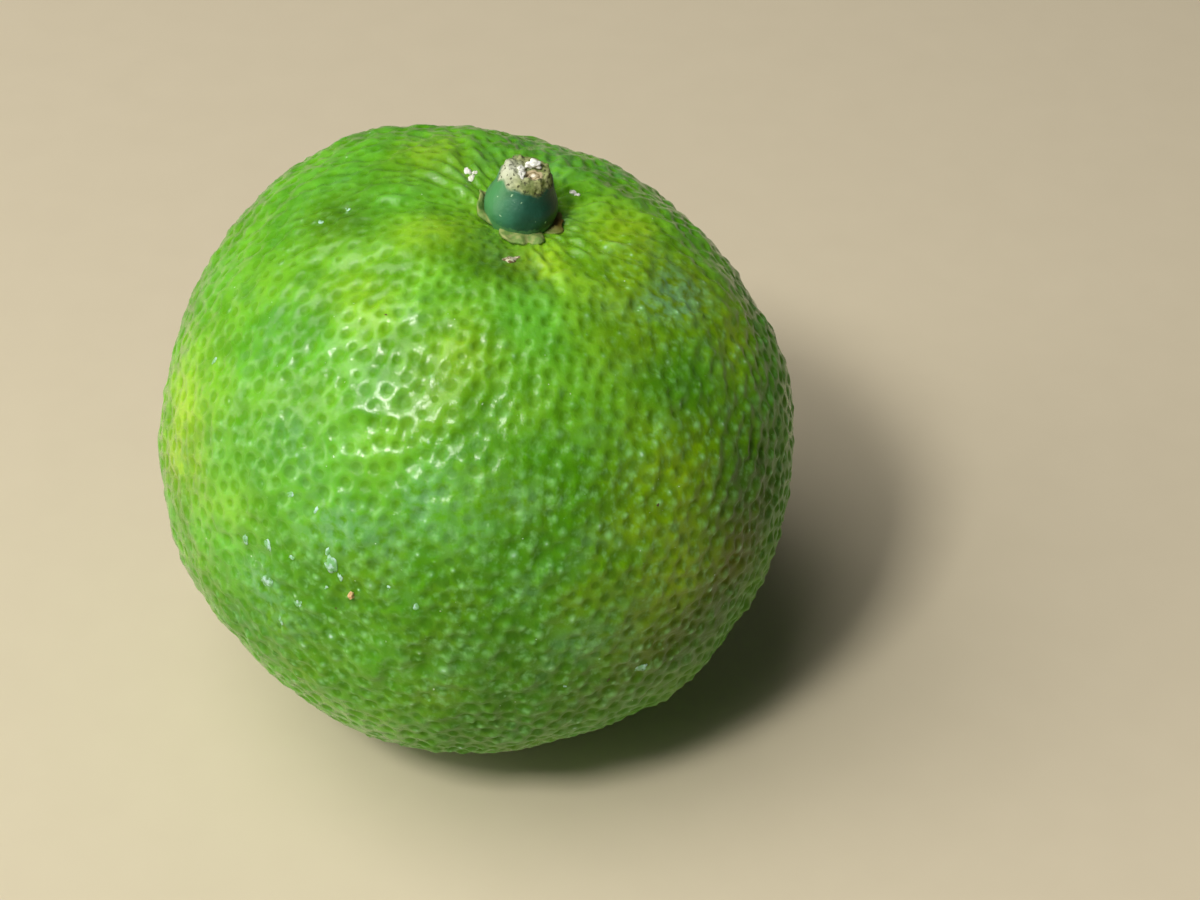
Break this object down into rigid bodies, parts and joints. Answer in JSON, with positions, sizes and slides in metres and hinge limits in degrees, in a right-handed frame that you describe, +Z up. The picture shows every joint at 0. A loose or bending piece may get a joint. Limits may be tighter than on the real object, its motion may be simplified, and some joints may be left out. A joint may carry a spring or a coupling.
{
  "type": "sudachi",
  "caption": "Whole small green sudachi citrus fruit, pitted rind, with its calyx and a short cut stub of stem, resting on a small flat spot.",
  "frame": {"origin": "on the surface the fruit rests on, under the middle of its bounding box", "axes": "+Z up from the flat spot it rests on; the stem leans 8 degrees from +Z towards +X"},
  "size_m": [0.0402, 0.04, 0.0397],
  "materials": {
    "peel": "waxy pitted citrus rind, semi-gloss",
    "calyx": "dry papery calyx, matte",
    "stem": "smooth green stem skin over pale cut wood, satin"
  },
  "bodies": {
    "root": {"fruit": "peel", "calyx": "calyx", "stem_stub": "stem"}
  },
  "joints": []
}
